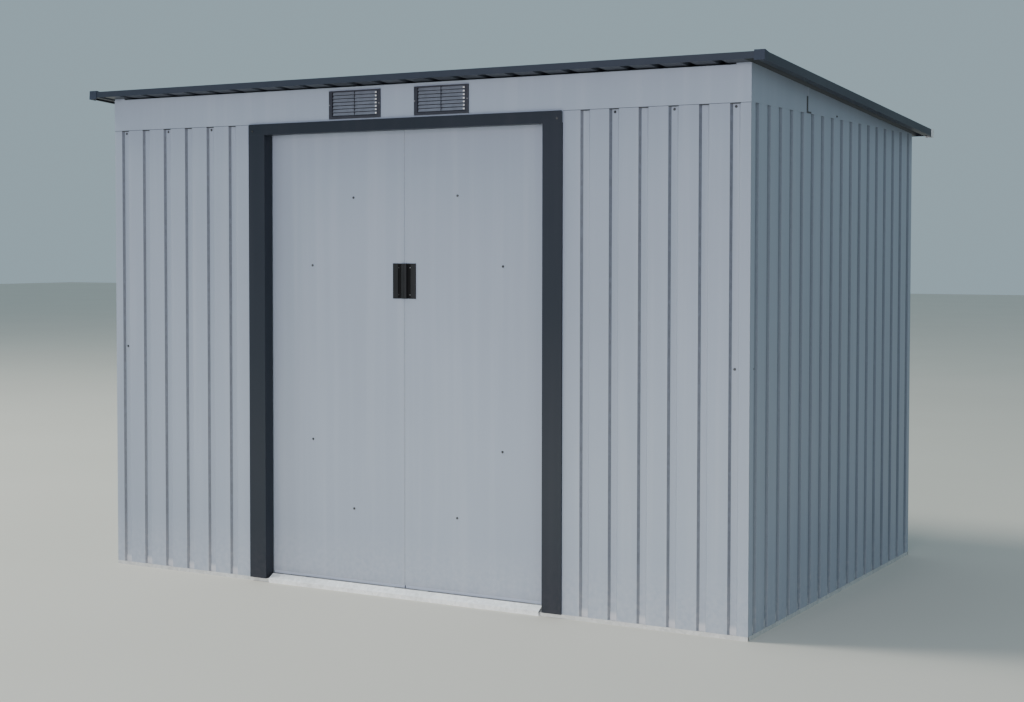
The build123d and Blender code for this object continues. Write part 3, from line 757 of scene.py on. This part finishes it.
for number in range(louvre_count):
    foot = hole_foot + louvre_pitch * (number + hood_gap)
    low = (vent_left_edge + 0.001, vent_low.y + 0.0006, foot)
    high = (vent_right_edge - 0.001, vent_low.y + 0.009, foot + louvre_pitch * hood_share)
    hood = block(f"louvre_{number}", low, high)
    bpy.ops.object.mode_set(mode="EDIT")
    pick(hood, "verts", lambda corner: corner.co.y < vent_low.y + 0.002 and corner.co.z > foot + 0.003)
    bpy.ops.transform.translate(value=(0, hood_lean, 0))
    pick(hood, "edges", rounded_end)
    bpy.ops.mesh.bevel(offset=0.0030, segments=3)
    bpy.ops.object.mode_set(mode="OBJECT")
    louvres.append(hood)
    # Painted highlight: a small white block at the right end of each louvre.
    low = (vent_right_edge - 0.007, vent_low.y - 0.0002, foot + 0.0015)
    high = (vent_right_edge - 0.0008, vent_low.y + 0.004, foot + 0.0065)
    glint_dot = block(f"lug_{number}", low, high)
    bpy.ops.object.mode_set(mode="EDIT")
    pick(glint_dot, "edges", lambda edge: all(end.co.y < vent_low.y + 0.001 for end in edge.verts))
    bpy.ops.mesh.bevel(offset=0.0012, segments=2)
    bpy.ops.object.mode_set(mode="OBJECT")
    glint_dot.data.materials.append(glint_white)
    glint_dots.append(glint_dot)
vent_middle = (vent_left_edge + vent_right_edge) / 2
divider_half = 0.001
low = (vent_middle - divider_half, vent_low.y + 0.0004, hole_foot)
high = (vent_middle + divider_half, vent_low.y + 0.010, hole_top)
divider = block("divider", low, high)
divider.data.materials.append(vent_dark)
bpy.ops.object.select_all(action="DESELECT")
for hood in louvres:
    hood.data.materials.append(vent_pale)
    hood.select_set(True)
for glint_dot in glint_dots:
    glint_dot.select_set(True)
divider.select_set(True)
border.select_set(True)
bpy.context.view_layer.objects.active = border
bpy.ops.object.join()
border.name = "vent_right_louvres"
alone(border)
bpy.ops.object.shade_smooth_by_angle(angle=radians(40))
left_vent = border.copy()
left_vent.data = border.data.copy()
left_vent.name = "vent_left_louvres"
left_vent.data.transform(Matrix.Translation((-vent_low.x - vent_high.x, 0, 0)))
bpy.context.scene.collection.objects.link(left_vent)
vent_screw = pan_screw("vent_screw", 0.0016, 0.0009, 0.0020)
for piece, node in ((border, "vent_right"), (left_vent, "vent_left")):
    low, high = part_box(node)
    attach(piece, "shed")
    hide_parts(node)
    spots = [(x, low.y, (low.z + high.z) / 2) for x in (low.x + 0.004, high.x - 0.004)]
    drive(vent_screw, f"{node}_screws", spots, [to_front] * 2, "shed", grey_steel)

# The roof: three ribbed charcoal sheets lapped over each other, channels along the sides,
# angles along the ends and moulded corner covers, of which the rear pair is paler.
roof_charcoal = (0.036, 0.042, 0.056)
trim_charcoal = (0.028, 0.036, 0.054)
roof_paint = painted("roof_paint", roof_charcoal, charcoal_dust_and_bounce, charcoal_worn, 0.00005, 0.25)
trim_paint = painted("trim_paint", trim_charcoal, charcoal_dust_and_bounce, charcoal_worn, 0.00005, 0.25)
cap_plastic = moulded("cap_plastic", (0.029, 0.039, 0.063), Specular_IOR_Level=0.25)
pale_plastic = moulded("pale_plastic", (0.80, 0.81, 0.84))
dress(roof_paint, "roof_sheet_left", "roof_sheet_middle", "roof_sheet_right")
dress(trim_paint, "roof_trim_front", "roof_trim_back", "roof_trim_left", "roof_trim_right")
dress(cap_plastic, "roof_caps_front")
dress(pale_plastic, "roof_caps_back")

roof_fall = atan2(0.120, 1.760)
roof_pitch = 2.702 / 26
roof_half = 1.351
roof_middle_height = 1.7295
rib_rise = 0.015
screw_rows = (-0.800, 0.0, 0.800)
roof_screw = pan_screw("roof_screw", 0.0045, 0.0035, 0.0080)
spots = []
ways = []
for run in screw_rows:
    for rib in range(1, 26, 2):
        across = (rib + 0.5) * roof_pitch - roof_half
        depth = run * cos(roof_fall) + rib_rise * sin(roof_fall)
        height = roof_middle_height - run * sin(roof_fall) + rib_rise * cos(roof_fall)
        spots.append((across, depth, height))
        ways.append(Matrix.Rotation(-roof_fall, 4, "X"))
drive(roof_screw, "roof_screws", spots, ways, "shed", grey_steel)

for pattern in (wall_screw, plate_screw, door_screw, pull_screw, vent_screw, roof_screw):
    bpy.data.objects.remove(pattern)
